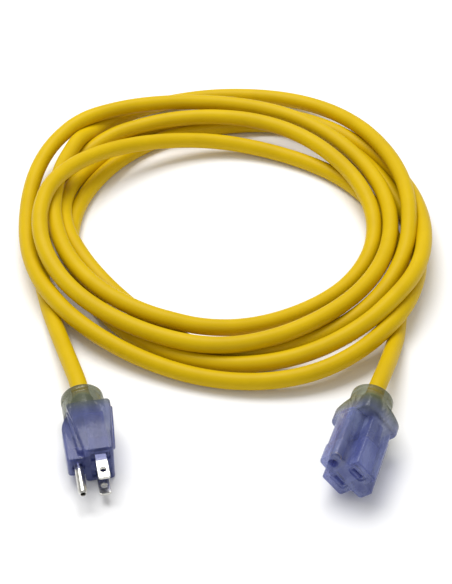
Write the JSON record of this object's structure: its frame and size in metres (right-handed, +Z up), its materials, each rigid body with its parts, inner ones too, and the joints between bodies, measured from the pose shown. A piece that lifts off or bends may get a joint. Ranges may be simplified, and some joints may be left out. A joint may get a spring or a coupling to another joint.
{
  "type": "extension cord",
  "caption": "Grounded extension cord wound into a loose flat oval coil, with a clear tinted blade plug and a clear tinted socket connector lying side by side in front.",
  "frame": {"origin": "on the floor, under the middle of the box around the plug and the connector", "axes": "+X from the plug across to the connector, +Y from the two ends towards the coil, +Z up; both faces look towards -Y"},
  "size_m": [0.255, 0.368, 0.0355],
  "materials": {
    "clear_moulding": "clear blue-violet moulded PVC, glossy",
    "inner_moulding": "darker blue-violet pre-moulded insert, satin",
    "strain_relief": "pale olive-grey flexible PVC, satin",
    "cord_jacket": "yellow flexible PVC, satin",
    "plated_blades": "nickel-plated brass, bright",
    "brass_contacts": "bright brass strip",
    "copper": "bare stranded copper",
    "black_insulation": "black PVC insulation",
    "white_insulation": "white PVC insulation",
    "green_insulation": "green PVC insulation",
    "lamp_glass": "dark violet glass of an unlit neon lamp",
    "resistor_body": "beige coated resistor body"
  },
  "bodies": {
    "root": {"plug_housing": "clear_moulding", "plug_blade_carrier": "inner_moulding", "plug_line_blade": "plated_blades", "plug_line_strands": "copper", "plug_line_core": "black_insulation", "plug_neutral_blade": "plated_blades", "plug_neutral_strands": "copper", "plug_neutral_core": "white_insulation", "plug_ground_pin": "plated_blades", "plug_ground_strands": "copper", "plug_ground_core": "green_insulation", "plug_jacket_end": "cord_jacket", "plug_strain_relief": "strain_relief", "connector_housing": "clear_moulding", "connector_contact_holder": "inner_moulding", "connector_line_contact": "brass_contacts", "connector_line_strands": "copper", "connector_line_core": "black_insulation", "connector_neutral_contact": "brass_contacts", "connector_neutral_strands": "copper", "connector_neutral_core": "white_insulation", "connector_ground_contact": "brass_contacts", "connector_ground_strands": "copper", "connector_ground_core": "green_insulation", "connector_pilot_lamp": "lamp_glass", "connector_lamp_resistor": "resistor_body", "connector_jacket_end": "cord_jacket", "connector_strain_relief": "strain_relief", "cord_coil": "cord_jacket", "cord_plug_tail": "cord_jacket", "cord_connector_tail": "cord_jacket"}
  },
  "joints": []
}
